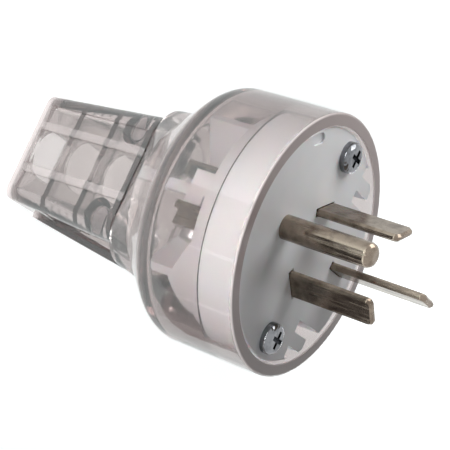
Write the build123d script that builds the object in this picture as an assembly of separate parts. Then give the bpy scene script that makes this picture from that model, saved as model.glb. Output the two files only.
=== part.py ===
from build123d import *

import os
from math import atan2, degrees

# A clear-bodied electrical plug with three flat blades and one round earth pin.
# It stands on its cord end: Z = 0 is the cord end, and the blades point up (+Z).
# The earth pin is towards -Y, which is also the side of the removable cord clamp.
# All sizes are in millimetres.

# Clear housing: head, shoulder and neck
BODY_LENGTH = 69.0
HEAD_RADIUS = 26.5
HEAD_WALL = 2.5
HEAD_LENGTH = 21.5
HEAD_EDGE_ROUND = 4.0
LEDGE_WIDTH = 1.0
SHOULDER_KNEE_RADIUS = 18.4
SHOULDER_KNEE_DROP = 9.4
ROUND_END_FLAT = 0.05
NECK_WIDTH = 34.0
NECK_DEPTH = 25.2
NECK_CORNER = 8.0
RIM_ROUND = 0.5

# Cord clamp: the housing's fixed tail and the removable jaw
CLAMP_LENGTH = 33.0
TAIL_WIDTH = 26.4
TAIL_DEPTH = 15.2
TAIL_CORNER = 4.0
TAIL_WALL = 2.0
SPLIT_Y = 5.0
JAW_REAR_WIDTH = 24.2
JAW_FRONT_WIDTH = 28.0
JAW_REAR_FACE = 6.9
JAW_FRONT_FACE = 12.6
JAW_REAR_CORNER = 2.4
JAW_FRONT_CORNER = 4.5
JAW_WALL = 2.2
JAW_END_GAP = 0.3
CORD_RADIUS = 5.4
CORD_Y = 0.2
GRIP_THICKNESS = 1.4
GRIP_PITCH = 10.2
GRIP_COUNT = 2
JAW_RIB_SPACING = 9.8
JAW_RIB_WIDTH = 1.8
JAW_RIB_HEIGHT = 0.6
JAW_RIM_WIDTH = 1.4
JAW_FINGER_REACH = 3.6
JAW_FINGER_DEPTH = 1.6
JAW_FINGER_ROUND = 0.8
SIDE_GRIP_LENGTH = 24.0
SIDE_GRIP_DEPTH = 0.9
SIDE_GRIP_Y = -1.6
SIDE_GRIP_Z = 17.0
SIDE_RIDGE_COUNT = 9
SIDE_RIDGE_WIDTH = 0.9
SIDE_RIDGE_DROP = 0.5
CLAMP_SCREW_X = 9.3
CLAMP_SCREW_Z = 27.0
CLAMP_SCREW_RADIUS = 1.75
CLAMP_SCREW_LENGTH = 15.0
CLAMP_HEAD_RADIUS = 3.0
CLAMP_HEAD_HEIGHT = 2.2
CLAMP_SEAT_Y = 9.6
CLAMP_BOSS_RADIUS = 3.4

# White contact carrier
CARRIER_GAP = 0.4
CARRIER_RECESS = 0.6
CARRIER_FLANGE = 8.0
CARRIER_BACK = 3.4
CARRIER_BACK_INSET = 1.2
CARRIER_EDGE_ROUND = 0.5
SLOT_GAP = 0.15
NOTCH_NEAR_X = 12.9
NOTCH_FAR_X = 20.9
NOTCH_Y = 9.2
TONGUE_NEAR_X = 15.5
TONGUE_FAR_X = 18.5
TONGUE_LENGTH = 6.0
DIMPLE_X = 17.4
DIMPLE_Y = 13.2
DIMPLE_LENGTH = 4.0
DIMPLE_WIDTH = 2.2
DIMPLE_DEPTH = 0.4

# Blades and earth pin
BLADE_WIDTH = 6.35
BLADE_THICKNESS = 1.5
SIDE_BLADE_X = 7.9
SIDE_BLADE_Y = 0.2
SIDE_BLADE_TURN = 56.0
SIDE_BLADE_REACH = 17.3
LOWER_BLADE_Y = 15.4
LOWER_BLADE_REACH = 20.6
BLADE_TIP_CHAMFER = 0.45
BLADE_CORNER_ROUND = 1.2
PIN_RADIUS = 2.4
PIN_Y = -11.4
PIN_REACH = 18.6
PIN_NOSE = 1.5
PIN_STEM_RADIUS = 2.1
YOKE_THICKNESS = 1.6
YOKE_DEPTH = 5.0
YOKE_ARM_THICKNESS = 0.8
YOKE_ARM_LENGTH = 11.6
YOKE_GAP = 0.5

# Terminals behind the carrier
LUG_WIDTH = 8.4
LUG_LENGTH = 8.8
LUG_THICKNESS = 1.5
PIN_LUG_SHIFT = 0.8
PLATE_WIDTH = 7.4
PLATE_LENGTH = 7.4
PLATE_THICKNESS = 1.2
WIRE_SPACE = 1.6
PLATE_LIP = 0.9
TERMINAL_SCREW_RADIUS = 1.6
TERMINAL_SCREW_TAIL = 1.5
TERMINAL_HEAD_RADIUS = 2.9
TERMINAL_HEAD_HEIGHT = 1.8
TERMINAL_HEAD_ROUND = 0.6
DRIVE_SLOT_WIDTH = 0.9
DRIVE_SLOT_DEPTH = 0.9
THREAD_GAP = 0.1
SCREW_END_ROOM = 1.0

# White terminal barrier behind the carrier
BARRIER_HUB_RADIUS = 4.4
BARRIER_LENGTH = 10.4
BARRIER_WALL = 1.8
BARRIER_GAP = 0.3
BARRIER_FAR_REACH = 13.0
BARRIER_NEAR_REACH = 20.6
BARRIER_ANGLES = (-135.0, -43.0, 35.0, 145.0)
SKIRT_MIDDLE = -40.0
SKIRT_NEAR_SPAN = 8.0
SKIRT_FAR_SPAN = 9.4
SKIRT_EDGE_DEPTH = 1.0
SKIRT_POINT_DEPTH = 5.8
SKIRT_FAR_DEPTH = 3.2
PIN_BLOCK_LEFT = 4.6
PIN_BLOCK_RIGHT = 2.0
PIN_BLOCK_LENGTH = 7.2
PIN_BLOCK_DEPTH = 7.5
PIN_BLOCK_WEB = 3.0
TONGUE_BAR_LENGTH = 13.8
TONGUE_BAR_WIDTH = 2.2
TONGUE_BAR_DEPTH = 2.0
TONGUE_BAR_X = -1.3
TONGUE_BAR_Y = -8.6

# Face screws
FACE_SCREW_X = 19.2
FACE_SCREW_RADIUS = 1.75
FACE_SCREW_LENGTH = 20.0
FACE_HEAD_RADIUS = 3.15
FACE_HEAD_HEIGHT = 2.0
BOSS_RADIUS = 3.5
BOSS_WEB = 2.4
PAN_ROUND = 1.2
CROSS_WIDTH = 0.9
CROSS_LENGTH = 3.6
CROSS_DEPTH = 1.2

# How far a cutting shape runs past the piece that it cuts
CUT_PAST = 1.0

# Heights that follow from the sizes above
FACE_Z = BODY_LENGTH - CARRIER_RECESS
FLANGE_BACK_Z = FACE_Z - CARRIER_FLANGE
CARRIER_BACK_Z = FLANGE_BACK_Z - CARRIER_BACK
HEAD_END_Z = BODY_LENGTH - HEAD_LENGTH
KNEE_Z = HEAD_END_Z - SHOULDER_KNEE_DROP
CAVITY_RADIUS = HEAD_RADIUS - HEAD_WALL
CARRIER_RADIUS = CAVITY_RADIUS - CARRIER_GAP
CARRIER_BACK_RADIUS = CAVITY_RADIUS - LEDGE_WIDTH - CARRIER_BACK_INSET
YOKE_BACK_Z = CARRIER_BACK_Z - YOKE_THICKNESS
LUG_MIDDLE_Z = CARRIER_BACK_Z - LUG_LENGTH / 2
BASE = (Align.CENTER, Align.CENTER, Align.MIN)
BACKWARD = (Align.MAX, Align.CENTER, Align.CENTER)


def revolved(points, radii):
    """A solid turned about Z from an outline of (radius, height) points, with each inner corner rounded."""
    outline = FilletPolyline(*[(r, 0, z) for r, z in points], radius=radii)
    closing = Polyline([(points[-1][0], 0, points[-1][1]), (0, 0, points[-1][1]), (0, 0, points[0][1]),
                        (points[0][0], 0, points[0][1])])
    return revolve(make_face(outline + closing), axis=Axis.Z)


def rounded_loft(rear, front, z_rear, z_front):
    """A loft between two rounded rectangles given as (width, y low, y high, corner radius)."""
    faces = []
    for (width, low, high, corner), z in ((rear, z_rear), (front, z_front)):
        face = Pos(0, (low + high) / 2, z) * RectangleRounded(width, high - low, corner)
        faces.append(face)
    return loft(faces)


def rod(radius, z_low, z_high, x=0.0, y=0.0):
    """An upright cylinder between two heights."""
    return Pos(x, y, z_low) * Cylinder(radius, z_high - z_low, align=BASE)


def block(x_low, x_high, y_low, y_high, z_low, z_high):
    """A plain box given by its six limits, used to cut and to trim."""
    middle = ((x_low + x_high) / 2, (y_low + y_high) / 2, (z_low + z_high) / 2)
    return Pos(*middle) * Box(x_high - x_low, y_high - y_low, z_high - z_low)


def housing_outside():
    """The head with its straight side and sloping shoulder, and the front of the neck."""
    points = [
        (HEAD_RADIUS, BODY_LENGTH),
        (HEAD_RADIUS, HEAD_END_Z),
        (SHOULDER_KNEE_RADIUS, KNEE_Z),
    ]
    return revolved(points, [HEAD_EDGE_ROUND]) + neck_front(0)


def housing_cavity():
    """The hollow inside the head and neck, with the ledge that the carrier's flange sits on."""
    inner = CAVITY_RADIUS - LEDGE_WIDTH
    lower = [
        (inner, FLANGE_BACK_Z),
        (inner, HEAD_END_Z + HEAD_WALL / 2),
        (SHOULDER_KNEE_RADIUS - HEAD_WALL, KNEE_Z),
    ]
    hollow = revolved(lower, [HEAD_EDGE_ROUND - HEAD_WALL / 2])
    return hollow + neck_front(HEAD_WALL) + rod(CAVITY_RADIUS, FLANGE_BACK_Z, BODY_LENGTH)


def neck_section(inset):
    """The neck's flattened section where the clamp starts, made smaller all round by an inset."""
    half = NECK_DEPTH / 2 - inset
    return (NECK_WIDTH - 2 * inset, -half, half, NECK_CORNER - inset)


def neck_front(inset):
    """The blend from the round foot of the shoulder to the flattened neck."""
    radius = SHOULDER_KNEE_RADIUS - inset
    foot = (2 * radius, -radius, radius, radius - ROUND_END_FLAT)
    return rounded_loft(neck_section(inset), foot, CLAMP_LENGTH, KNEE_Z)


def neck_block(inset):
    """The neck's tapering form along the clamp, made smaller all round by an inset."""
    half = TAIL_DEPTH / 2 - inset
    rear = (TAIL_WIDTH - 2 * inset, -half, half, TAIL_CORNER - inset / 2)
    return rounded_loft(rear, neck_section(inset), 0, CLAMP_LENGTH)


def clamp_seats(sign):
    """The boss inside the fixed tail that one clamp screw passes through."""
    boss = Pos(sign * CLAMP_SCREW_X, SPLIT_Y, CLAMP_SCREW_Z) * (Rot(-90, 0, 0) * Cylinder(
        CLAMP_BOSS_RADIUS, NECK_WIDTH, align=BASE))
    return boss & neck_block(0)


def clamp_holes(sign):
    """The screw hole and the counterbore for one clamp screw, cut into the fixed tail."""
    hole = Pos(sign * CLAMP_SCREW_X, 0, CLAMP_SCREW_Z) * (Rot(-90, 0, 0) * Cylinder(
        CLAMP_SCREW_RADIUS + SLOT_GAP, NECK_WIDTH, align=BASE))
    recess = Pos(sign * CLAMP_SCREW_X, CLAMP_SEAT_Y, CLAMP_SCREW_Z) * (Rot(-90, 0, 0) * Cylinder(
        CLAMP_HEAD_RADIUS + BARRIER_GAP, NECK_WIDTH, align=BASE))
    return hole + recess


def fixed_tail():
    """The far half of the neck, which runs back to the cord end and carries the jaw."""
    trim = block(-HEAD_RADIUS, HEAD_RADIUS, SPLIT_Y, HEAD_RADIUS, 0, CLAMP_LENGTH)
    shell = (neck_block(0) & trim) - neck_block(TAIL_WALL)
    ridges = [grip_wall(k) & trim & neck_block(TAIL_WALL / 2) for k in range(GRIP_COUNT)]
    tail = (shell + ridges) - rod(CORD_RADIUS, 0, CLAMP_LENGTH, 0, CORD_Y)
    for sign in (-1, 1):
        tail = tail + clamp_seats(sign)
    for sign in (-1, 1):
        tail = tail - clamp_holes(sign)
    return tail


def grip_wall(index):
    """One wall across the neck with a round cut-out that bites on the cord."""
    z = GRIP_PITCH * (index + 1)
    plate = block(-JAW_REAR_WIDTH / 2, JAW_REAR_WIDTH / 2, -HEAD_RADIUS, HEAD_RADIUS, z, z + GRIP_THICKNESS)
    return plate - rod(CORD_RADIUS, 0, CLAMP_LENGTH, 0, CORD_Y)


def boss(sign):
    """A boss for one face screw, joined to the head's wall by a web."""
    low = KNEE_Z
    post = rod(BOSS_RADIUS, low, FLANGE_BACK_Z, sign * FACE_SCREW_X, 0)
    near, far = sorted((sign * FACE_SCREW_X, sign * HEAD_RADIUS))
    web = block(near, far, -BOSS_WEB / 2, BOSS_WEB / 2, low, FLANGE_BACK_Z)
    return (post + web) & housing_outside()


def clear_housing():
    """The one-piece clear moulding: head, shoulder, neck, fixed tail and screw bosses."""
    body = housing_outside() - housing_cavity()
    body = body + fixed_tail()
    for sign in (-1, 1):
        body = body + boss(sign)
    hole_end = FACE_Z - FACE_SCREW_LENGTH - SCREW_END_ROOM
    for sign in (-1, 1):
        body = body - rod(FACE_SCREW_RADIUS + THREAD_GAP, hole_end, BODY_LENGTH, sign * FACE_SCREW_X, 0)
    rim = body.edges().filter_by(GeomType.CIRCLE).group_by(Axis.Z)[-1].sort_by(SortBy.RADIUS)[-1]
    return fillet(rim, RIM_ROUND)


def jaw_form(inset):
    """The jaw's outer form, made smaller all round by an inset."""
    far = SPLIT_Y + HEAD_RADIUS
    rear = (JAW_REAR_WIDTH - 2 * inset, inset - JAW_REAR_FACE, far, JAW_REAR_CORNER - inset / 2)
    front = (JAW_FRONT_WIDTH - 2 * inset, inset - JAW_FRONT_FACE, far, JAW_FRONT_CORNER - inset / 2)
    return rounded_loft(rear, front, 0, CLAMP_LENGTH)


def jaw_hollow():
    """The space inside the jaw, open towards the fixed tail, with end walls left standing."""
    front = CLAMP_LENGTH - JAW_END_GAP - JAW_WALL
    return jaw_form(JAW_WALL) & block(-HEAD_RADIUS, HEAD_RADIUS, -HEAD_RADIUS, HEAD_RADIUS, JAW_WALL, front)


def jaw_rib(sign):
    """One of the two long ribs that stand up from the jaw's outer face."""
    low = sign * JAW_RIB_SPACING / 2 - JAW_RIB_WIDTH / 2
    strip = block(low, low + JAW_RIB_WIDTH, -HEAD_RADIUS, 0, 0, CLAMP_LENGTH - JAW_END_GAP)
    return strip & (jaw_form(0) - jaw_form(JAW_RIB_HEIGHT))


def jaw_face_field():
    """The part of the jaw's outer skin that is cut back so that the rim and the ribs stand up."""
    wide = JAW_REAR_WIDTH / 2 - JAW_REAR_CORNER
    far = JAW_FRONT_WIDTH / 2 - JAW_FRONT_CORNER
    high = CLAMP_LENGTH - JAW_END_GAP - JAW_RIM_WIDTH
    corners = [(-wide, JAW_RIM_WIDTH), (wide, JAW_RIM_WIDTH), (far, high), (-far, high)]
    field = extrude(Plane.XZ * make_face(Polyline(*corners, close=True)), HEAD_RADIUS)
    return field & (jaw_form(0) - jaw_form(JAW_RIB_HEIGHT))


def jaw_finger(sign):
    """A finger with a rounded end that slips under the neck's near wall and locates the jaw."""
    outer = BARRIER_GAP + HEAD_WALL - NECK_DEPTH / 2
    length = JAW_FINGER_REACH + JAW_END_GAP + JAW_WALL
    finger = Box(JAW_RIB_WIDTH, JAW_FINGER_DEPTH, length, align=(Align.CENTER, Align.MIN, Align.MIN))
    tips = finger.edges().filter_by(Axis.Y).group_by(Axis.Z)[-1]
    finger = fillet(tips, JAW_FINGER_ROUND)
    return Pos(sign * JAW_RIB_SPACING / 2, outer, CLAMP_LENGTH - JAW_END_GAP - JAW_WALL) * finger


def side_grip(sign):
    """The lens-shaped finger hollow along one side of the jaw, with fine ridges left across it."""
    half = SIDE_GRIP_LENGTH / 2
    radius = (half * half + SIDE_GRIP_DEPTH * SIDE_GRIP_DEPTH) / (2 * SIDE_GRIP_DEPTH)
    face = JAW_REAR_WIDTH / 2 + (JAW_FRONT_WIDTH - JAW_REAR_WIDTH) / 2 * SIDE_GRIP_Z / CLAMP_LENGTH
    drum = Rot(90, 0, 0) * Cylinder(radius, SPLIT_Y - SIDE_GRIP_Y + JAW_REAR_FACE / 2)
    hollow = Pos(sign * (face + radius - SIDE_GRIP_DEPTH), SIDE_GRIP_Y, SIDE_GRIP_Z) * drum
    pitch = SIDE_GRIP_LENGTH / (SIDE_RIDGE_COUNT + 1)
    low, high = sorted((sign * (face - SIDE_GRIP_DEPTH - CUT_PAST), sign * (face - SIDE_RIDGE_DROP)))
    for index in range(1, SIDE_RIDGE_COUNT + 1):
        z = SIDE_GRIP_Z - half + index * pitch - SIDE_RIDGE_WIDTH / 2
        hollow = hollow - block(low, high, -HEAD_RADIUS, HEAD_RADIUS, z, z + SIDE_RIDGE_WIDTH)
    return hollow


def clamp_jaw():
    """The removable clear jaw with its ribbed face, grip walls, fingers and screw posts."""
    front = CLAMP_LENGTH - JAW_END_GAP
    trim = block(-HEAD_RADIUS, HEAD_RADIUS, -HEAD_RADIUS, SPLIT_Y - BARRIER_GAP, 0, front)
    jaw = (jaw_form(0) & trim) - jaw_face_field() - jaw_hollow()
    for sign in (-1, 1):
        jaw = jaw + jaw_rib(sign)
    inside = jaw_form(JAW_WALL / 2) & trim
    for index in range(GRIP_COUNT):
        jaw = jaw + (grip_wall(index) & inside)
    for sign in (-1, 1):
        post = Pos(sign * CLAMP_SCREW_X, SPLIT_Y - BARRIER_GAP, CLAMP_SCREW_Z) * (
            Rot(90, 0, 0) * Cylinder(CLAMP_BOSS_RADIUS - SLOT_GAP, HEAD_RADIUS, align=BASE))
        jaw = jaw + (post & inside) + jaw_finger(sign)
    jaw = jaw - rod(CORD_RADIUS, -CUT_PAST, CLAMP_LENGTH, 0, CORD_Y)
    jaw = jaw - block(-CORD_RADIUS, CORD_RADIUS, CORD_Y, HEAD_RADIUS, -CUT_PAST, CLAMP_LENGTH)
    reach = CLAMP_SCREW_LENGTH - (CLAMP_SEAT_Y - SPLIT_Y) + SCREW_END_ROOM
    for sign in (-1, 1):
        hole = Pos(sign * CLAMP_SCREW_X, SPLIT_Y, CLAMP_SCREW_Z) * (
            Rot(90, 0, 0) * Cylinder(CLAMP_SCREW_RADIUS + THREAD_GAP, reach, align=BASE))
        jaw = jaw - hole - side_grip(sign)
    return jaw


def notch(sign):
    """One of the two cut-outs at the carrier's far edge, with a tongue left standing in it."""
    x_low, x_high = sorted((sign * NOTCH_NEAR_X, sign * NOTCH_FAR_X))
    t_low, t_high = sorted((sign * TONGUE_NEAR_X, sign * TONGUE_FAR_X))
    gap = block(x_low, x_high, NOTCH_Y, HEAD_RADIUS, CARRIER_BACK_Z, BODY_LENGTH)
    tongue = block(t_low, t_high, NOTCH_Y, NOTCH_Y + TONGUE_LENGTH, CARRIER_BACK_Z, BODY_LENGTH)
    return gap - tongue


def blade_place(name):
    """A blade's centre and the direction that its outer face looks in."""
    return {
        "left": (-SIDE_BLADE_X, SIDE_BLADE_Y, 180 + 90 - SIDE_BLADE_TURN),
        "right": (SIDE_BLADE_X, SIDE_BLADE_Y, SIDE_BLADE_TURN - 90),
        "lower": (0, LOWER_BLADE_Y, 0),
    }[name]


def contact_carrier():
    """The white disc that holds the blades, with a thicker middle behind its flange."""
    flange = rod(CARRIER_RADIUS, FLANGE_BACK_Z, FACE_Z)
    back = rod(CARRIER_BACK_RADIUS, CARRIER_BACK_Z, FLANGE_BACK_Z)
    for sign in (-1, 1):
        back = back - rod(BOSS_RADIUS + CARRIER_GAP, CARRIER_BACK_Z, FLANGE_BACK_Z, sign * FACE_SCREW_X, 0)
        low, high = sorted((sign * FACE_SCREW_X, sign * HEAD_RADIUS))
        web = BOSS_WEB / 2 + CARRIER_GAP
        back = back - block(low, high, -web, web, CARRIER_BACK_Z, FLANGE_BACK_Z)
    edge = flange.edges().filter_by(GeomType.CIRCLE).sort_by(Axis.Z)[-1]
    carrier = fillet(edge, CARRIER_EDGE_ROUND) + back
    depth = CARRIER_FLANGE + CARRIER_BACK
    slot = Box(BLADE_THICKNESS + 2 * SLOT_GAP, BLADE_WIDTH + 2 * SLOT_GAP, depth, align=BASE)
    for name in ("left", "right", "lower"):
        x, y, turn = blade_place(name)
        carrier = carrier - Pos(x, y, CARRIER_BACK_Z) * Rot(0, 0, turn) * slot
    carrier = carrier - rod(PIN_STEM_RADIUS + SLOT_GAP, CARRIER_BACK_Z, BODY_LENGTH, 0, PIN_Y)
    screw_hole = rod(FACE_SCREW_RADIUS + SLOT_GAP, CARRIER_BACK_Z, BODY_LENGTH)
    for sign in (-1, 1):
        carrier = carrier - Pos(sign * FACE_SCREW_X, 0, 0) * screw_hole - notch(sign)
    dimple = extrude(SlotOverall(DIMPLE_LENGTH, DIMPLE_WIDTH), 2 * DIMPLE_DEPTH)
    turn = degrees(atan2(DIMPLE_Y, DIMPLE_X)) + 90
    return carrier - Pos(-DIMPLE_X, -DIMPLE_Y, FACE_Z - DIMPLE_DEPTH) * Rot(0, 0, turn) * dimple


def lug(width, thickness):
    """A flat terminal lug standing behind the carrier: its outer face looks along +X from X = 0."""
    plate = Pos(-thickness / 2, 0, LUG_MIDDLE_Z) * Box(thickness, width, LUG_LENGTH)
    hole = Pos(-thickness, 0, LUG_MIDDLE_Z) * (
        Rot(0, 90, 0) * Cylinder(TERMINAL_SCREW_RADIUS + THREAD_GAP, thickness * 2, align=BASE))
    return plate - hole


def blade(name, reach):
    """A flat blade with a rounded, bevelled tip and a wide lug that stops against the carrier's back."""
    x, y, turn = blade_place(name)
    tip = BODY_LENGTH + reach
    face = Pos(0, 0, CARRIER_BACK_Z) * Box(BLADE_THICKNESS, BLADE_WIDTH, tip - CARRIER_BACK_Z, align=BASE)
    corners = face.edges().filter_by(Axis.X).group_by(Axis.Z)[-1]
    face = fillet(corners, BLADE_CORNER_ROUND)
    top = face.faces().sort_by(Axis.Z)[-1]
    long_edges = top.edges().filter_by(Axis.Y)
    face = chamfer(long_edges, BLADE_TIP_CHAMFER)
    tail = Pos(BLADE_THICKNESS / 2, 0, 0) * lug(LUG_WIDTH, LUG_THICKNESS)
    return Pos(x, y, 0) * Rot(0, 0, turn) * (face + tail)


def earth_pin():
    """The round pin with its rounded nose, on a yoke whose arms straddle the barrier behind the carrier."""
    pin = rod(PIN_RADIUS, FACE_Z, BODY_LENGTH + PIN_REACH)
    nose = pin.edges().filter_by(GeomType.CIRCLE).sort_by(Axis.Z)[-1]
    pin = fillet(nose, PIN_NOSE) + rod(PIN_STEM_RADIUS, YOKE_BACK_Z, FACE_Z)
    right = PIN_BLOCK_RIGHT + YOKE_GAP
    left = -PIN_BLOCK_LEFT - YOKE_GAP
    base = block(left - YOKE_ARM_THICKNESS, right + LUG_THICKNESS, -YOKE_DEPTH / 2, YOKE_DEPTH / 2,
                 YOKE_BACK_Z, CARRIER_BACK_Z)
    arm_end = CARRIER_BACK_Z - YOKE_ARM_LENGTH
    arm = block(left - YOKE_ARM_THICKNESS, left, -YOKE_DEPTH / 2, YOKE_DEPTH / 2, arm_end, CARRIER_BACK_Z)
    hook_end = TONGUE_BAR_X - TONGUE_BAR_WIDTH / 2 - YOKE_GAP
    hook = block(left - YOKE_ARM_THICKNESS, hook_end, -YOKE_DEPTH / 2, YOKE_DEPTH / 2,
                 arm_end, arm_end + YOKE_ARM_THICKNESS)
    tail = Pos(right + LUG_THICKNESS, -PIN_LUG_SHIFT, 0) * lug(LUG_WIDTH, LUG_THICKNESS)
    return Pos(0, PIN_Y, 0) * (pin + base + arm + hook + tail)


def pressure_plate():
    """A square wire plate with two turned-in lips, held off the lug by the wire space."""
    outer = WIRE_SPACE + PLATE_THICKNESS
    plate = Pos(outer, 0, 0) * Box(PLATE_THICKNESS, PLATE_WIDTH, PLATE_LENGTH, align=BACKWARD)
    for sign in (-1, 1):
        middle = sign * (PLATE_WIDTH - PLATE_LIP) / 2
        plate = plate + Pos(outer, middle, 0) * Box(outer, PLATE_LIP, PLATE_LENGTH, align=BACKWARD)
    hole = Rot(0, 90, 0) * Cylinder(TERMINAL_SCREW_RADIUS + SLOT_GAP, outer, align=BASE)
    return Pos(0, 0, LUG_MIDDLE_Z) * (plate - hole)


def terminal_screw():
    """A slotted screw through the pressure plate into the lug."""
    seat = WIRE_SPACE + PLATE_THICKNESS
    length = seat + LUG_THICKNESS + TERMINAL_SCREW_TAIL
    head = Cylinder(TERMINAL_HEAD_RADIUS, TERMINAL_HEAD_HEIGHT, align=BASE)
    head = fillet(head.edges().filter_by(GeomType.CIRCLE).sort_by(Axis.Z)[-1], TERMINAL_HEAD_ROUND)
    groove = Box(2 * TERMINAL_HEAD_RADIUS, DRIVE_SLOT_WIDTH, 2 * DRIVE_SLOT_DEPTH)
    head = head - Pos(0, 0, TERMINAL_HEAD_HEIGHT) * groove
    shank = Pos(0, 0, -length) * Cylinder(TERMINAL_SCREW_RADIUS, length, align=BASE)
    return Pos(seat, 0, LUG_MIDDLE_Z) * (Rot(0, 90, 0) * (head + shank))


def terminal_place(name):
    """The turn and shift that carry a terminal from its own place at X = 0 to its lug."""
    if name == "earth":
        return Pos(PIN_BLOCK_RIGHT + YOKE_GAP + LUG_THICKNESS, PIN_Y - PIN_LUG_SHIFT, 0)
    x, y, turn = blade_place(name)
    return Pos(x, y, 0) * Rot(0, 0, turn) * Pos(BLADE_THICKNESS / 2, 0, 0)


def barrier_wall(angle, reach):
    """One upright wall from the hub outwards, at an angle about Z."""
    low = CARRIER_BACK_Z - BARRIER_LENGTH
    wall = block(0, reach, -BARRIER_WALL / 2, BARRIER_WALL / 2, low, CARRIER_BACK_Z)
    return Rot(0, 0, angle) * wall


def skirt():
    """The curved fin beside the earth terminal, which comes to a blunt point away from the carrier."""
    top = CARRIER_BACK_Z
    low = top - SKIRT_POINT_DEPTH
    ring = rod(BARRIER_NEAR_REACH, low, top) - rod(BARRIER_NEAR_REACH - BARRIER_WALL, low, top)
    corners = [
        (-SKIRT_NEAR_SPAN, top),
        (-SKIRT_NEAR_SPAN, top - SKIRT_EDGE_DEPTH),
        (0, low),
        (SKIRT_FAR_SPAN, top - SKIRT_FAR_DEPTH),
        (SKIRT_FAR_SPAN, top),
    ]
    fin = extrude(Plane.XZ * make_face(Polyline(*corners, close=True)), HEAD_RADIUS)
    away_from_boss = rod(BOSS_RADIUS + CARRIER_GAP, low, top, FACE_SCREW_X, 0)
    return (ring & (Rot(0, 0, SKIRT_MIDDLE + 90) * fin)) - away_from_boss


def pin_block():
    """The white block inside the earth yoke, with its web to the hub and the long bar behind it."""
    top = YOKE_BACK_Z - BARRIER_GAP
    low = top - PIN_BLOCK_LENGTH
    near = PIN_Y - YOKE_DEPTH / 2
    far = near + PIN_BLOCK_DEPTH
    body = block(-PIN_BLOCK_LEFT, PIN_BLOCK_RIGHT, near, far, low, top)
    half = PIN_BLOCK_WEB / 2
    web = block(TONGUE_BAR_X - half, TONGUE_BAR_X + half, far - BARRIER_WALL, 0, low, top)
    length = TONGUE_BAR_LENGTH + PIN_BLOCK_LENGTH
    bar = Pos(TONGUE_BAR_X, TONGUE_BAR_Y, top) * Box(
        TONGUE_BAR_WIDTH, TONGUE_BAR_DEPTH, length, align=(Align.CENTER, Align.CENTER, Align.MAX))
    bore = Pos(0, PIN_Y - PIN_LUG_SHIFT, LUG_MIDDLE_Z) * (
        Rot(0, 90, 0) * Cylinder(TERMINAL_SCREW_RADIUS + BARRIER_GAP, HEAD_RADIUS, align=BASE))
    return (body + web + bar) - bore


def terminal_barrier():
    """The white piece behind the carrier that keeps the terminals apart and reaches back as a long bar."""
    low = CARRIER_BACK_Z - BARRIER_LENGTH
    piece = rod(BARRIER_HUB_RADIUS, low, CARRIER_BACK_Z)
    for angle in BARRIER_ANGLES:
        reach = BARRIER_NEAR_REACH if angle < 0 else BARRIER_FAR_REACH
        piece = piece + barrier_wall(angle, reach)
    return piece + skirt() + pin_block()


def pan_head(radius, height):
    """A pan head with a cross recess, seated at Z = 0."""
    head = Cylinder(radius, height, align=BASE)
    head = fillet(head.edges().filter_by(GeomType.CIRCLE).sort_by(Axis.Z)[-1], PAN_ROUND)
    for turn in (0, 90):
        head = head - Pos(0, 0, height) * Rot(0, 0, turn) * Box(CROSS_LENGTH, CROSS_WIDTH, 2 * CROSS_DEPTH)
    return head


def face_screw(sign):
    """A long screw through the carrier's flange into the boss."""
    shank = rod(FACE_SCREW_RADIUS, -FACE_SCREW_LENGTH, 0)
    return Pos(sign * FACE_SCREW_X, 0, FACE_Z) * (pan_head(FACE_HEAD_RADIUS, FACE_HEAD_HEIGHT) + shank)


def clamp_screw(sign):
    """A screw through the fixed tail into the jaw's post, with its head on the far side."""
    shank = rod(CLAMP_SCREW_RADIUS, -CLAMP_SCREW_LENGTH, 0)
    screw = pan_head(CLAMP_HEAD_RADIUS, CLAMP_HEAD_HEIGHT) + shank
    return Pos(sign * CLAMP_SCREW_X, CLAMP_SEAT_Y, CLAMP_SCREW_Z) * (Rot(-90, 0, 0) * screw)


def build():
    """Every piece of the plug by its node name."""
    pieces = {
        "clear_housing": clear_housing(),
        "clamp_jaw": clamp_jaw(),
        "contact_carrier": contact_carrier(),
        "terminal_barrier": terminal_barrier(),
        "blade_left": blade("left", SIDE_BLADE_REACH),
        "blade_right": blade("right", SIDE_BLADE_REACH),
        "blade_lower": blade("lower", LOWER_BLADE_REACH),
        "earth_pin": earth_pin(),
        "face_screw_left": face_screw(-1),
        "face_screw_right": face_screw(1),
        "clamp_screw_left": clamp_screw(-1),
        "clamp_screw_right": clamp_screw(1),
    }
    for name in ("left", "right", "lower", "earth"):
        place = terminal_place(name)
        pieces["wire_plate_" + name] = place * pressure_plate()
        pieces["terminal_screw_" + name] = place * terminal_screw()
    return pieces


def main():
    """Writes one STEP file for each piece."""
    os.makedirs("parts", exist_ok=True)
    for name, piece in build().items():
        export_step(piece, "parts/" + name + ".step")


main()
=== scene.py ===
# Looks of a clear-bodied electrical plug with three flat blades and a round earth pin.
# The CAD nodes keep their shapes and get their finishes here. Screw threads, which are too fine for the
# solids, are modelled as pieces of their own round the plain shanks. The plug stands on its cord end with the
# blades up. Azimuth 0 is the side of the clamp jaw's face, towards -Y, and azimuth 90 is the +X side.

import logging
import math
from dataclasses import dataclass
from enum import Enum
from typing import Any

import bmesh
import bpy
from mathutils import Matrix, Quaternion, Vector


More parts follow.
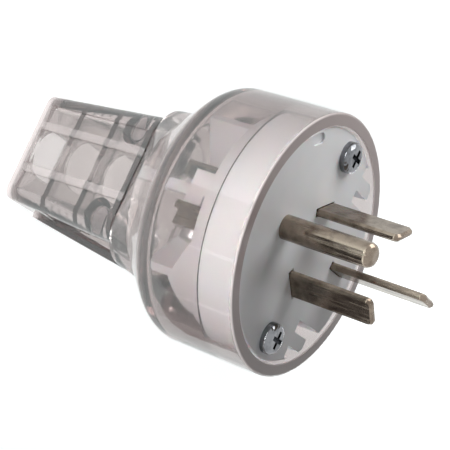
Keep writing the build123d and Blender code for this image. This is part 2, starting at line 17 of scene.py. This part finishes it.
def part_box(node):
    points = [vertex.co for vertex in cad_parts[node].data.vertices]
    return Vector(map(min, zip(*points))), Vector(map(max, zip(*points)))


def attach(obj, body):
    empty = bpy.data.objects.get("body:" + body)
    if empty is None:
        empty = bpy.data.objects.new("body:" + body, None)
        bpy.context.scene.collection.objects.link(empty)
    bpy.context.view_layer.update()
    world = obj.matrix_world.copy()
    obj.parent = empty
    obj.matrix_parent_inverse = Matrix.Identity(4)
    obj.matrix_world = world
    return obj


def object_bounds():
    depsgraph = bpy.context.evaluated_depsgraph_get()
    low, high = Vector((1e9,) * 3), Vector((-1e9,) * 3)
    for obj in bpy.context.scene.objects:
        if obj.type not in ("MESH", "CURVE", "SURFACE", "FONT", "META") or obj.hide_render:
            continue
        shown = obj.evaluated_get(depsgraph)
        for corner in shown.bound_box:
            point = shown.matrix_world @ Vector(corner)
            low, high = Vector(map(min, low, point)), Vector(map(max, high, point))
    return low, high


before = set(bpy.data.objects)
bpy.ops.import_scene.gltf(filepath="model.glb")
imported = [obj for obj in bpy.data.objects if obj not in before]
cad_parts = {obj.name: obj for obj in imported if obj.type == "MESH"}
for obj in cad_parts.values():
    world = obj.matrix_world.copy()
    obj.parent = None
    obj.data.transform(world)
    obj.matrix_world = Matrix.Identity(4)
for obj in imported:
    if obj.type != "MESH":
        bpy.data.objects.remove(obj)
CAD_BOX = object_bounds()

MM = 0.001
WELD_MM = 0.001
PLUG_MIDDLE = (CAD_BOX[0] + CAD_BOX[1]) / 2
LOG = logging.getLogger("plug")


class Slot(Enum):
    """The record's material slots."""

    CLEAR = "clear_plastic"
    WHITE = "white_plastic"
    BLADE = "blade_metal"
    SCREW = "screw_metal"


def linear(hex_colour: str) -> tuple[float, float, float, float]:
    """Turns an sRGB hex colour to the linear colour that a shader socket takes.

    Args:
        hex_colour: Six hex digits with a leading hash.

    Returns:
        Red, green and blue in linear light, with an alpha of 1.
    """
    channels = [int(hex_colour[i:i + 2], 16) / 255 for i in (1, 3, 5)]
    turned = [c / 12.92 if c <= 0.04045 else ((c + 0.055) / 1.055) ** 2.4 for c in channels]
    return (*turned, 1.0)


def direction(azimuth: float, elevation: float) -> Vector:
    """Turns a place round the plug to a direction.

    Args:
        azimuth: Degrees round the plug, 0 on the side of the jaw's face and 90 on the +X side.
        elevation: Degrees above the horizon.

    Returns:
        The unit vector from the plug to that place.
    """
    turn, rise = math.radians(azimuth), math.radians(elevation)
    return Vector((math.sin(turn) * math.cos(rise), -math.cos(turn) * math.cos(rise), math.sin(rise)))


def add_node(
    tree: bpy.types.NodeTree,
    kind: str,
    settings: dict[Any, Any] | None = None,
    links: dict[Any, bpy.types.NodeSocket] | None = None,
) -> bpy.types.Node:
    """Adds a node, sets its properties or unlinked inputs, and links its other inputs.

    Args:
        tree: The node tree that gets the node.
        kind: The node's class name.
        settings: Values by property name, or by input name or number.
        links: Output sockets by the name or number of the input that they feed.

    Returns:
        The new node.
    """
    node = tree.nodes.new(kind)
    for key, value in (settings or {}).items():
        if isinstance(key, str) and hasattr(node, key) and key not in node.inputs:
            setattr(node, key, value)
        else:
            node.inputs[key].default_value = value
    for key, source in (links or {}).items():
        tree.links.new(source, node.inputs[key])
    return node


def new_material(name: str) -> tuple[bpy.types.Material, bpy.types.NodeTree, bpy.types.Node]:
    """Makes an empty node material.

    Args:
        name: The material's name.

    Returns:
        The material, its node tree and its output node.
    """
    material = bpy.data.materials.new(name)
    material.use_nodes = True
    tree = material.node_tree
    tree.nodes.clear()
    return material, tree, add_node(tree, "ShaderNodeOutputMaterial")


@dataclass(frozen=True)
class ClearPolycarbonate:
    """Clear moulded polycarbonate: glassy, with a mauve body colour that darkens its thick edges.

    The mould leaves three places satin and less clear: the head's rim, the cord end and the two long ribs on
    the jaw. A mauve-grey colour painted on them stands in for the shade that thick clear edges show, so that
    they look even. Flow marks vary the polish, and a slight ripple bends reflections.
    """

    name: str = "clear_polycarbonate_moulded"
    # The glassy wall, and the colour that its depth takes on.
    ior: float = 1.585
    wall_tint: str = "#F4F2F1"
    clearness: float = 0.97
    body_tint: str = "#A78C8A"
    tint_density: float = 225.0
    # The satin places and their painted shade: how they look, and where they lie on the plug.
    # The satin places' mauve-grey colour is painted shade, for the shade seen in thick clear edges.
    satin_painted_shade: str = "#B5A7A6"
    satin_clear: float = 0.35
    satin_roughness: float = 0.4
    rim_start_mm: float = 68.5
    rim_full_mm: float = 68.8
    rib_x_mm: float = 4.9
    rib_half_mm: float = 0.85
    rib_y_mm: float = -6.4
    rib_end_mm: float = 32.7
    rib_satin_and_shade: float = 0.28
    end_start_mm: float = 1.7
    end_full_mm: float = 1.1
    end_satin_and_shade: float = 0.6
    # The flow marks and the ripple.
    polish_low: float = 0.04
    polish_high: float = 0.12
    flow_mm: float = 9.0
    flow_detail: float = 3.0
    flow_roughness: float = 0.55
    flow_low: float = 0.3
    flow_high: float = 0.75
    ripple_mm: float = 2.4
    ripple_detail: float = 1.0
    ripple_depth_mm: float = 0.012
    ripple_strength: float = 0.5

    def build(self) -> bpy.types.Material:
        """Makes the material.

        Returns:
            The finish of the housing and the jaw.
        """
        material, tree, output = new_material(self.name)
        place = add_node(tree, "ShaderNodeTexCoord")
        flow = add_node(
            tree, "ShaderNodeTexNoise",
            {"Scale": 1 / (self.flow_mm * MM), "Detail": self.flow_detail, "Roughness": self.flow_roughness},
            {"Vector": place.outputs["Object"]},
        )
        polish = add_node(
            tree, "ShaderNodeMapRange",
            {
                "From Min": self.flow_low,
                "From Max": self.flow_high,
                "To Min": self.polish_low,
                "To Max": self.polish_high,
            },
            {"Value": flow.outputs["Fac"]},
        )
        ripple = add_node(
            tree, "ShaderNodeTexNoise",
            {"Scale": 1 / (self.ripple_mm * MM), "Detail": self.ripple_detail},
            {"Vector": place.outputs["Object"]},
        )
        bump = add_node(
            tree, "ShaderNodeBump",
            {"Strength": self.ripple_strength, "Distance": self.ripple_depth_mm * MM},
            {"Height": ripple.outputs["Fac"]},
        )
        glassy = add_node(
            tree, "ShaderNodeBsdfPrincipled",
            {"Base Color": linear(self.wall_tint), "IOR": self.ior, "Transmission Weight": self.clearness},
            {"Roughness": polish.outputs["Result"], "Normal": bump.outputs["Normal"]},
        )
        # This shader's mauve-grey base colour paints the shade of thick clear edges on the satin places.
        satin_and_painted_shade = add_node(
            tree, "ShaderNodeBsdfPrincipled",
            {
                "Base Color": linear(self.satin_painted_shade),
                "IOR": self.ior,
                "Transmission Weight": self.satin_clear,
                "Roughness": self.satin_roughness,
            },
            {"Normal": bump.outputs["Normal"]},
        )
        surface = add_node(
            tree, "ShaderNodeMixShader", None,
            {0: self.satin_and_painted_shade_area(tree, place), 1: glassy.outputs["BSDF"], 2: satin_and_painted_shade.outputs["BSDF"]},
        )
        body = add_node(
            tree, "ShaderNodeVolumeAbsorption",
            {"Color": linear(self.body_tint), "Density": self.tint_density},
        )
        tree.links.new(surface.outputs["Shader"], output.inputs["Surface"])
        tree.links.new(body.outputs["Volume"], output.inputs["Volume"])
        return material

    def satin_and_painted_shade_area(self, tree: bpy.types.NodeTree, place: bpy.types.Node) -> bpy.types.NodeSocket:
        """Adds the nodes that find the satin places, which carry the painted shade, by where they lie on the
        plug.

        Args:
            tree: The node tree that gets the nodes.
            place: The texture coordinate node.

        Returns:
            A value of 1 on the rim, less on the cord end and the ribs, and 0 elsewhere.
        """
        axes = add_node(tree, "ShaderNodeSeparateXYZ", None, {"Vector": place.outputs["Object"]})
        rim = add_node(
            tree, "ShaderNodeMapRange",
            {"From Min": self.rim_start_mm * MM, "From Max": self.rim_full_mm * MM},
            {"Value": axes.outputs["Z"]},
        )
        cord_end = add_node(
            tree, "ShaderNodeMapRange",
            {"From Min": self.end_start_mm * MM, "From Max": self.end_full_mm * MM, "To Max": self.end_satin_and_shade},
            {"Value": axes.outputs["Z"]},
        )
        off_middle = add_node(tree, "ShaderNodeMath", {"operation": "ABSOLUTE"}, {0: axes.outputs["X"]})
        on_rib = add_node(
            tree, "ShaderNodeMath",
            {"operation": "COMPARE", 1: self.rib_x_mm * MM, 2: self.rib_half_mm * MM},
            {0: off_middle.outputs[0]},
        )
        on_face = add_node(
            tree, "ShaderNodeMath", {"operation": "LESS_THAN", 1: self.rib_y_mm * MM},
            {0: axes.outputs["Y"]},
        )
        on_jaw = add_node(
            tree, "ShaderNodeMath", {"operation": "LESS_THAN", 1: self.rib_end_mm * MM},
            {0: axes.outputs["Z"]},
        )
        jaw_face = add_node(
            tree, "ShaderNodeMath", {"operation": "MULTIPLY"}, {0: on_face.outputs[0], 1: on_jaw.outputs[0]},
        )
        ribs = add_node(
            tree, "ShaderNodeMath", {"operation": "MULTIPLY"}, {0: on_rib.outputs[0], 1: jaw_face.outputs[0]},
        )
        soft_ribs = add_node(
            tree, "ShaderNodeMath", {"operation": "MULTIPLY", 1: self.rib_satin_and_shade}, {0: ribs.outputs[0]},
        )
        rim_or_ribs = add_node(
            tree, "ShaderNodeMath", {"operation": "MAXIMUM"}, {0: rim.outputs[0], 1: soft_ribs.outputs[0]},
        )
        satin_and_painted_shade = add_node(
            tree, "ShaderNodeMath", {"operation": "MAXIMUM"},
            {0: rim_or_ribs.outputs[0], 1: cord_end.outputs[0]},
        )
        return satin_and_painted_shade.outputs[0]


@dataclass(frozen=True)
class MouldedNylon:
    """White moulded nylon: a bright satin body that light sinks into a little.

    Soft clouds vary its colour and its polish, and the mould leaves a fine grain that is drawn coarse enough
    to show.
    """

    name: str = "white_nylon_moulded"
    colour: str = "#F6F7FA"
    shade: str = "#E8EAEE"
    ior: float = 1.53
    roughness_low: float = 0.38
    roughness_high: float = 0.52
    # The clouds, the grain, and how deep light sinks in.
    cloud_mm: float = 9.0
    cloud_detail: float = 2.0
    grain_mm: float = 0.35
    grain_detail: float = 1.0
    grain_depth_mm: float = 0.01
    grain_strength: float = 0.4
    depth_mm: float = 0.6
    depth_weight: float = 0.15

    def build(self) -> bpy.types.Material:
        """Makes the material.

        Returns:
            The finish of the carrier and the barrier.
        """
        material, tree, output = new_material(self.name)
        place = add_node(tree, "ShaderNodeTexCoord")
        clouds = add_node(
            tree, "ShaderNodeTexNoise",
            {"Scale": 1 / (self.cloud_mm * MM), "Detail": self.cloud_detail},
            {"Vector": place.outputs["Object"]},
        )
        colour = add_node(
            tree, "ShaderNodeMix",
            {"data_type": "RGBA", 6: linear(self.shade), 7: linear(self.colour)},
            {"Factor": clouds.outputs["Fac"]},
        )
        roughness = add_node(
            tree, "ShaderNodeMapRange",
            {"To Min": self.roughness_low, "To Max": self.roughness_high},
            {"Value": clouds.outputs["Fac"]},
        )
        grain = add_node(
            tree, "ShaderNodeTexNoise",
            {"Scale": 1 / (self.grain_mm * MM), "Detail": self.grain_detail},
            {"Vector": place.outputs["Object"]},
        )
        bump = add_node(
            tree, "ShaderNodeBump",
            {"Strength": self.grain_strength, "Distance": self.grain_depth_mm * MM},
            {"Height": grain.outputs["Fac"]},
        )
        shader = add_node(
            tree, "ShaderNodeBsdfPrincipled",
            {
                "IOR": self.ior,
                "Subsurface Weight": self.depth_weight,
                "Subsurface Scale": self.depth_mm * MM,
            },
            {
                "Base Color": colour.outputs[2],
                "Roughness": roughness.outputs["Result"],
                "Normal": bump.outputs["Normal"],
            },
        )
        tree.links.new(shader.outputs["BSDF"], output.inputs["Surface"])
        return material


@dataclass(frozen=True)
class PlatedMetal:
    """A plated metal: a base colour, a duller tarnish in clouds, and fine lines from the die or the lathe.

    The lines run along the axis whose stretch is the smallest.
    """

    name: str
    colour: str
    tarnish: str
    roughness_low: float
    roughness_high: float
    line_mm: float
    line_depth_mm: float
    stretch: tuple[float, float, float] = (1.0, 1.0, 1.0)
    # How strongly the lines and the tarnish show, alike on every metal here.
    line_detail: float = 2.0
    line_low: float = 0.3
    line_high: float = 0.7
    line_strength: float = 0.5
    cloud_mm: float = 2.6
    cloud_detail: float = 4.0
    cloud_roughness: float = 0.6
    patch_low: float = 0.42
    patch_high: float = 0.68

    def build(self) -> bpy.types.Material:
        """Makes the material.

        Returns:
            The finish of some of the metal pieces.
        """
        material, tree, output = new_material(self.name)
        place = add_node(tree, "ShaderNodeTexCoord")
        clouds = add_node(
            tree, "ShaderNodeTexNoise",
            {
                "Scale": 1 / (self.cloud_mm * MM),
                "Detail": self.cloud_detail,
                "Roughness": self.cloud_roughness,
            },
            {"Vector": place.outputs["Object"]},
        )
        patches = add_node(
            tree, "ShaderNodeMapRange",
            {"From Min": self.patch_low, "From Max": self.patch_high},
            {"Value": clouds.outputs["Fac"]},
        )
        colour = add_node(
            tree, "ShaderNodeMix",
            {"data_type": "RGBA", 6: linear(self.colour), 7: linear(self.tarnish)},
            {"Factor": patches.outputs["Result"]},
        )
        drawn = add_node(
            tree, "ShaderNodeMapping", {"Scale": self.stretch}, {"Vector": place.outputs["Object"]},
        )
        lines = add_node(
            tree, "ShaderNodeTexNoise",
            {"Scale": 1 / (self.line_mm * MM), "Detail": self.line_detail},
            {"Vector": drawn.outputs["Vector"]},
        )
        roughness = add_node(
            tree, "ShaderNodeMapRange",
            {
                "From Min": self.line_low,
                "From Max": self.line_high,
                "To Min": self.roughness_low,
                "To Max": self.roughness_high,
            },
            {"Value": lines.outputs["Fac"]},
        )
        bump = add_node(
            tree, "ShaderNodeBump",
            {"Strength": self.line_strength, "Distance": self.line_depth_mm * MM},
            {"Height": lines.outputs["Fac"]},
        )
        shader = add_node(
            tree, "ShaderNodeBsdfPrincipled",
            {"Metallic": 1.0},
            {
                "Base Color": colour.outputs[2],
                "Roughness": roughness.outputs["Result"],
                "Normal": bump.outputs["Normal"],
            },
        )
        tree.links.new(shader.outputs["BSDF"], output.inputs["Surface"])
        return material


# Nickel plate over stamped brass looks warm grey, with dull streaks along the blade from the rolled strip.
NICKELLED_BRASS = PlatedMetal(
    name="nickel_plated_brass_stamped", colour="#93877A", tarnish="#6C6055",
    roughness_low=0.14, roughness_high=0.3, line_mm=0.5, line_depth_mm=0.006, stretch=(1.0, 1.0, 0.06),
)
# Dark nickel on steel shows the room in hard black and white, as the heads of the two face screws do.
DARK_NICKELLED_STEEL = PlatedMetal(
    name="dark_nickel_plated_steel_headed", colour="#8A8C90", tarnish="#606266",
    roughness_low=0.06, roughness_high=0.16, line_mm=0.5, line_depth_mm=0.012,
)
# Bright zinc plate on steel is a pale, even grey, so that the hidden screws stay quiet in the clear plastic.
ZINC_PLATED_STEEL = PlatedMetal(
    name="zinc_plated_steel_headed", colour="#D0D1D3", tarnish="#BDBFC2",
    roughness_low=0.3, roughness_high=0.42, line_mm=0.4, line_depth_mm=0.004,
)


def dress(node_name: str, material: bpy.types.Material, slot: Slot) -> None:
    """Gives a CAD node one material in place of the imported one.

    Args:
        node_name: The CAD node's name.
        material: The finish.
        slot: The record's slot that the node has.
    """
    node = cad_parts[node_name]
    for held in node.material_slots:
        held.material = material
    LOG.info("dressed %s, which has the slot %s, in %s", node_name, slot.value, material.name)


def add_piece(name: str, mesh: bmesh.types.BMesh, material: bpy.types.Material) -> None:
    """Turns a finished bmesh into a piece that rides on the plug.

    Args:
        name: The piece's name.
        mesh: The shape in the row frame, in metres. It is freed here.
        material: The finish.
    """
    bmesh.ops.remove_doubles(mesh, verts=mesh.verts, dist=WELD_MM * MM)
    bmesh.ops.recalc_face_normals(mesh, faces=mesh.faces)
    data = bpy.data.meshes.new(name)
    mesh.to_mesh(data)
    mesh.free()
    data.shade_smooth()
    data.materials.append(material)
    piece = bpy.data.objects.new(name, data)
    bpy.context.scene.collection.objects.link(piece)
    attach(piece, "root")
    LOG.info("made %s with %d faces", name, len(data.polygons))


@dataclass
class ScrewThread:
    """A rolled thread round a plain shank: one ridge on a helix, with its root sunk into the shank."""

    shank_mm: float
    crest_mm: float = 0.32
    crest_share: float = 0.25
    pitch_mm: float = 1.1
    root_mm: float = 0.55
    sink_mm: float = 0.08
    steps_a_turn: int = 24

    def build(
        self, name: str, head: Vector, along: Vector, length_mm: float, material: bpy.types.Material,
    ) -> None:
        """Makes the ridge as a piece.

        Args:
            name: The piece's name.
            head: The end of the thread nearest the screw's head, in metres.
            along: The direction from the head to the point.
            length_mm: The threaded length.
            material: The screw's finish.
        """
        mesh = bmesh.new()
        half = self.root_mm / 2
        crest_half = half * self.crest_share
        inner = self.shank_mm - self.sink_mm
        outer = self.shank_mm + self.crest_mm
        outline = [(inner, -half), (outer, -crest_half), (outer, crest_half), (inner, half)]
        corners = [mesh.verts.new((radius * MM, 0.0, rise * MM)) for radius, rise in outline]
        face = mesh.faces.new(corners)
        turns = (length_mm - self.root_mm) / self.pitch_mm
        bmesh.ops.spin(
            mesh, geom=[*face.verts, *face.edges, face], cent=(0, 0, 0), axis=(0, 0, 1),
            dvec=(0, 0, self.pitch_mm * MM / self.steps_a_turn), angle=2 * math.pi * turns,
            steps=max(1, round(turns * self.steps_a_turn)), use_merge=False, use_duplicate=False,
        )
        place = Matrix.Translation(head) @ along.to_track_quat("Z", "Y").to_matrix().to_4x4()
        bmesh.ops.transform(mesh, matrix=place @ Matrix.Translation((0, 0, half * MM)), verts=mesh.verts)
        add_piece(name, mesh, material)


@dataclass
class ClearBody:
    """The one-piece clear housing and the removable clear jaw of the cord clamp."""

    housing: str = "clear_housing"
    jaw: str = "clamp_jaw"

    def build(self, finish: bpy.types.Material) -> None:
        """Dresses both mouldings in the clear finish."""
        for name in (self.housing, self.jaw):
            dress(name, finish, Slot.CLEAR)


@dataclass
class WhiteCore:
    """The white carrier that holds the blades, and the white barrier between the terminals."""

    carrier: str = "contact_carrier"
    barrier: str = "terminal_barrier"

    def build(self, finish: bpy.types.Material) -> None:
        """Dresses both pieces in the white finish."""
        for name in (self.carrier, self.barrier):
            dress(name, finish, Slot.WHITE)


@dataclass
class Contacts:
    """The three flat blades, the round earth pin and the wire plates on their lugs."""

    blades: tuple[str, ...] = ("left", "right", "lower")
    pin: str = "earth"

    def build(self, finish: bpy.types.Material) -> None:
        """Dresses every contact and its wire plate in the blades' finish."""
        names = ["blade_" + end for end in self.blades]
        names.append(self.pin + "_pin")
        names += ["wire_plate_" + end for end in (*self.blades, self.pin)]
        for name in names:
            dress(name, finish, Slot.BLADE)


@dataclass
class Screws:
    """The face screws, the clamp screws and the terminal screws. The first two kinds get a thread."""

    pairs: tuple[str, ...] = ("left", "right")
    terminals: tuple[str, ...] = ("left", "right", "lower", "earth")
    shank_mm: float = 1.75
    face_plain_mm: float = 10.0
    clamp_plain_mm: float = 4.6

    def build(self, dark: bpy.types.Material, bright: bpy.types.Material) -> None:
        """Dresses every screw, and threads the long ones from their boss to their point.

        Args:
            dark: The face screws' finish.
            bright: The finish of the clamp screws and the terminal screws.
        """
        for end in self.pairs:
            self.thread("face_screw_" + end, Vector((0, 0, -1)), self.face_plain_mm, dark)
            self.thread("clamp_screw_" + end, Vector((0, -1, 0)), self.clamp_plain_mm, bright)
        for end in self.terminals:
            dress("terminal_screw_" + end, bright, Slot.SCREW)

    def thread(self, name: str, along: Vector, plain_mm: float, finish: bpy.types.Material) -> None:
        """Dresses a screw and winds a thread round its shank.

        Args:
            name: The screw's CAD node.
            along: The direction from the screw's head to its point.
            plain_mm: The length from the head's top that carries no thread.
            finish: The screw's material.
        """
        dress(name, finish, Slot.SCREW)
        low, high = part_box(name)
        reach = abs((high - low).dot(along))
        start = (low + high) / 2 - along * (reach / 2 - plain_mm * MM)
        ScrewThread(self.shank_mm).build(name + "_thread", start, along, reach / MM - plain_mm, finish)


@dataclass(frozen=True)
class SoftBox:
    """A rectangular lamp that looks at the middle of the plug.

    Only a mirrored soft box shows in metal and in glossy plastic. The others give light without a highlight.
    """

    name: str
    azimuth: float
    elevation: float
    width_mm: float
    height_mm: float
    watts: float
    distance_mm: float = 420.0
    colour: str = "#F3FFFF"
    mirrored: bool = False


@dataclass
class Studio:
    """A pale floor and surround, four soft boxes, and dark cards that only mirrored rays meet.

    The key lamp stands low beside the camera, so that its light goes in through the clear wall and brightens
    the white parts. The low lamp and the back lamp do so from the other sides. The small face lamp shades the
    carrier's face from light on its -X side to grey on its +X side. The floor glows for the rays that show
    it, and less near the plug, so that the background is white and the plug keeps a soft shadow.
    """

    # The floor's paper. Its glow is near_glow up to near_mm from the plug, and far_glow from far_mm on.
    floor_half_mm: float = 1500.0
    floor_colour: str = "#DCDCDC"
    floor_shown: str = "#FBFBFB"
    floor_specular: float = 0.1
    near_glow: float = 0.6
    far_glow: float = 1.0
    near_mm: float = 120.0
    far_mm: float = 400.0
    paper_roughness: tuple[float, float] = (0.85, 0.95)
    fibre_mm: float = 0.8
    fibre_detail: float = 2.0
    # The surround, first as it is seen and then as it lights the plug.
    seen_colour: str = "#FFFFFF"
    seen_light: float = 1.0
    sky_colour: str = "#FFFAF7"
    sky_light: float = 0.1
    soft_boxes: tuple[SoftBox, ...] = (
        SoftBox("key_lamp", azimuth=8.0, elevation=0.0, width_mm=420.0, height_mm=110.0, watts=6.4),
        SoftBox("low_lamp", azimuth=72.0, elevation=0.0, width_mm=420.0, height_mm=110.0, watts=1.8),
        SoftBox("back_lamp", azimuth=190.0, elevation=0.0, width_mm=420.0, height_mm=110.0, watts=2.4),
        SoftBox(
            "face_lamp", azimuth=-85.0, elevation=36.0, width_mm=60.0, height_mm=60.0, watts=0.052,
            distance_mm=100.0, colour="#FFFDFB", mirrored=True,
        ),
    )
    # The dark cards.
    card_azimuths: tuple[float, ...] = (16.0, 60.0, 104.0)
    card_elevation: float = -20.0
    card_distance_mm: float = 110.0
    card_half_mm: float = 40.0
    card_colour: str = "#3F3436"
    felt_roughness: tuple[float, float] = (0.9, 1.0)
    nap_mm: float = 2.0
    nap_detail: float = 2.0

    def build(self) -> None:
        """Makes the floor, the world, the lamps and the dark cards."""
        self.floor()
        self.world()
        for soft_box in self.soft_boxes:
            self.lamp(soft_box)
        felt = self.felt()
        for index, azimuth in enumerate(self.card_azimuths):
            self.card(f"dark_card_{index}", azimuth, felt)
        bpy.context.scene.view_settings.view_transform = "Standard"

    def flat_board(
        self, name: str, half_mm: float, place: Matrix, material: bpy.types.Material,
    ) -> bpy.types.Object:
        """Makes a square board.

        Args:
            name: The board's name.
            half_mm: Half the length of its side.
            place: Where it lies and how it is turned, written into its mesh.
            material: The board's material.

        Returns:
            The board's object.
        """
        mesh = bmesh.new()
        bmesh.ops.create_grid(mesh, x_segments=1, y_segments=1, size=half_mm * MM)
        bmesh.ops.transform(mesh, matrix=place, verts=mesh.verts)
        data = bpy.data.meshes.new(name)
        mesh.to_mesh(data)
        mesh.free()
        data.materials.append(material)
        board = bpy.data.objects.new(name, data)
        bpy.context.scene.collection.objects.link(board)
        LOG.info("made %s", name)
        return board

    def floor(self) -> None:
        """Makes one flat floor of white paper under the plug."""
        floor = self.flat_board("floor", self.floor_half_mm, Matrix.Identity(4), self.paper())

    def paper(self) -> bpy.types.Material:
        """Makes the floor's matte white paper, which shows no highlight.

        Returns:
            The paper, pale grey for the light that it throws on the plug and white for the rays that show it.
        """
        material, tree, output = new_material("matte_white_paper")
        place = add_node(tree, "ShaderNodeTexCoord")
        fibres = add_node(
            tree, "ShaderNodeTexNoise",
            {"Scale": 1 / (self.fibre_mm * MM), "Detail": self.fibre_detail},
            {"Vector": place.outputs["Object"]},
        )
        low, high = self.paper_roughness
        roughness = add_node(
            tree, "ShaderNodeMapRange", {"To Min": low, "To Max": high}, {"Value": fibres.outputs["Fac"]},
        )
        distance = add_node(
            tree, "ShaderNodeVectorMath", {"operation": "LENGTH"}, {0: place.outputs["Object"]},
        )
        fill = add_node(
            tree, "ShaderNodeMapRange",
            {
                "From Min": self.near_mm * MM,
                "From Max": self.far_mm * MM,
                "To Min": self.near_glow,
                "To Max": self.far_glow,
            },
            {"Value": distance.outputs["Value"]},
        )
        glow = add_node(
            tree, "ShaderNodeMath", {"operation": "MULTIPLY"},
            {0: self.seen_rays(tree), 1: fill.outputs["Result"]},
        )
        shader = add_node(
            tree, "ShaderNodeBsdfPrincipled",
            {
                "Base Color": linear(self.floor_colour),
                "Specular IOR Level": self.floor_specular,
                "Emission Color": linear(self.floor_shown),
            },
            {"Roughness": roughness.outputs["Result"], "Emission Strength": glow.outputs[0]},
        )
        tree.links.new(shader.outputs["BSDF"], output.inputs["Surface"])
        return material

    def seen_rays(self, tree: bpy.types.NodeTree) -> bpy.types.NodeSocket:
        """Adds the nodes that tell rays that show the surround from rays that light the plug.

        Args:
            tree: The node tree that gets the nodes.

        Returns:
            A value of 1 for camera, glossy and transmission rays, and 0 for the rest.
        """
        path = add_node(tree, "ShaderNodeLightPath")
        mirrored = add_node(
            tree, "ShaderNodeMath", {"operation": "MAXIMUM"},
            {0: path.outputs["Is Camera Ray"], 1: path.outputs["Is Glossy Ray"]},
        )
        through = add_node(
            tree, "ShaderNodeMath", {"operation": "MAXIMUM"},
            {0: mirrored.outputs[0], 1: path.outputs["Is Transmission Ray"]},
        )
        return through.outputs[0]

    def world(self) -> None:
        """Makes a white surround, dimmer as a light than it looks, so that the lamps can shape the plug."""
        world = bpy.data.worlds.new("studio")
        bpy.context.scene.world = world
        world.use_nodes = True
        tree = world.node_tree
        tree.nodes.clear()
        lighting = add_node(
            tree, "ShaderNodeBackground", {"Color": linear(self.sky_colour), "Strength": self.sky_light},
        )
        seen = add_node(
            tree, "ShaderNodeBackground", {"Color": linear(self.seen_colour), "Strength": self.seen_light},
        )
        mixed = add_node(
            tree, "ShaderNodeMixShader", None,
            {0: self.seen_rays(tree), 1: lighting.outputs[0], 2: seen.outputs[0]},
        )
        add_node(tree, "ShaderNodeOutputWorld", None, {"Surface": mixed.outputs[0]})

    def lamp(self, soft_box: SoftBox) -> None:
        """Hangs one soft box and turns it to the plug.

        Args:
            soft_box: The lamp's size, place and power.
        """
        light = bpy.data.lights.new(soft_box.name, "AREA")
        light.energy = soft_box.watts
        light.color = linear(soft_box.colour)[:3]
        light.shape = "RECTANGLE"
        light.size = soft_box.width_mm * MM
        light.size_y = soft_box.height_mm * MM
        lamp = bpy.data.objects.new(soft_box.name, light)
        lamp.visible_glossy = soft_box.mirrored
        bpy.context.scene.collection.objects.link(lamp)
        away = direction(soft_box.azimuth, soft_box.elevation)
        lamp.location = PLUG_MIDDLE + away * soft_box.distance_mm * MM
        lamp.rotation_mode = "QUATERNION"
        lamp.rotation_quaternion = away.to_track_quat("Z", "Y")
        LOG.info("hung %s", soft_box.name)

    def felt(self) -> bpy.types.Material:
        """Makes the dark wool felt of the cards, which gives the metal its dark bands.

        Returns:
            The felt, with no highlight of its own.
        """
        material, tree, output = new_material("dark_wool_felt")
        place = add_node(tree, "ShaderNodeTexCoord")
        nap = add_node(
            tree, "ShaderNodeTexNoise",
            {"Scale": 1 / (self.nap_mm * MM), "Detail": self.nap_detail},
            {"Vector": place.outputs["Object"]},
        )
        low, high = self.felt_roughness
        roughness = add_node(
            tree, "ShaderNodeMapRange", {"To Min": low, "To Max": high}, {"Value": nap.outputs["Fac"]},
        )
        shader = add_node(
            tree, "ShaderNodeBsdfPrincipled",
            {"Base Color": linear(self.card_colour), "Specular IOR Level": 0.0},
            {"Roughness": roughness.outputs["Result"]},
        )
        tree.links.new(shader.outputs["BSDF"], output.inputs["Surface"])
        return material

    def card(self, name: str, azimuth: float, felt: bpy.types.Material) -> None:
        """Stands a dark card beside the plug that only mirrored rays meet.

        Args:
            name: The card's name.
            azimuth: Its place round the plug in degrees.
            felt: The card's material.
        """
        away = direction(azimuth, self.card_elevation)
        turned = away.to_track_quat("Z", "Y").to_matrix().to_4x4()
        place = Matrix.Translation(PLUG_MIDDLE + away * self.card_distance_mm * MM) @ turned
        board = self.flat_board(name, self.card_half_mm, place, felt)
        board.visible_camera = False
        board.visible_diffuse = False
        board.visible_transmission = False
        board.visible_shadow = False


@dataclass
class ProductCamera:
    """The photograph's viewpoint: above the blades, turned so that the plug lies across the picture."""

    # Fitted to the round rim and the blades in the photograph.
    aim_mm: tuple[float, float, float] = (1.14, 1.91, 48.13)
    distance_mm: float = 271.77
    azimuth: float = 9.692
    elevation: float = 30.854
    roll: float = 109.138
    lens_mm: float = 108.0
    sensor_mm: float = 36.0
    clip_mm: float = 5.0

    def build(self) -> None:
        """Makes the camera and makes it the scene's own."""
        data = bpy.data.cameras.new("product_camera")
        data.lens = self.lens_mm
        data.sensor_width = self.sensor_mm
        data.clip_start = self.clip_mm * MM
        camera = bpy.data.objects.new("product_camera", data)
        bpy.context.scene.collection.objects.link(camera)
        back = direction(self.azimuth, self.elevation)
        camera.location = Vector(self.aim_mm) * MM + back * self.distance_mm * MM
        camera.rotation_mode = "QUATERNION"
        level = (-back).to_track_quat("-Z", "Y")
        camera.rotation_quaternion = level @ Quaternion((0, 0, 1), math.radians(self.roll))
        bpy.context.scene.camera = camera


def main() -> None:
    """Makes the finishes, builds the sub-assemblies in order, and then the studio and the camera."""
    logging.basicConfig(level=logging.INFO, format="%(name)s: %(message)s")
    ClearBody().build(ClearPolycarbonate().build())
    WhiteCore().build(MouldedNylon().build())
    Contacts().build(NICKELLED_BRASS.build())
    Screws().build(DARK_NICKELLED_STEEL.build(), ZINC_PLATED_STEEL.build())
    Studio().build()
    ProductCamera().build()


if __name__ == "__main__":
    main()
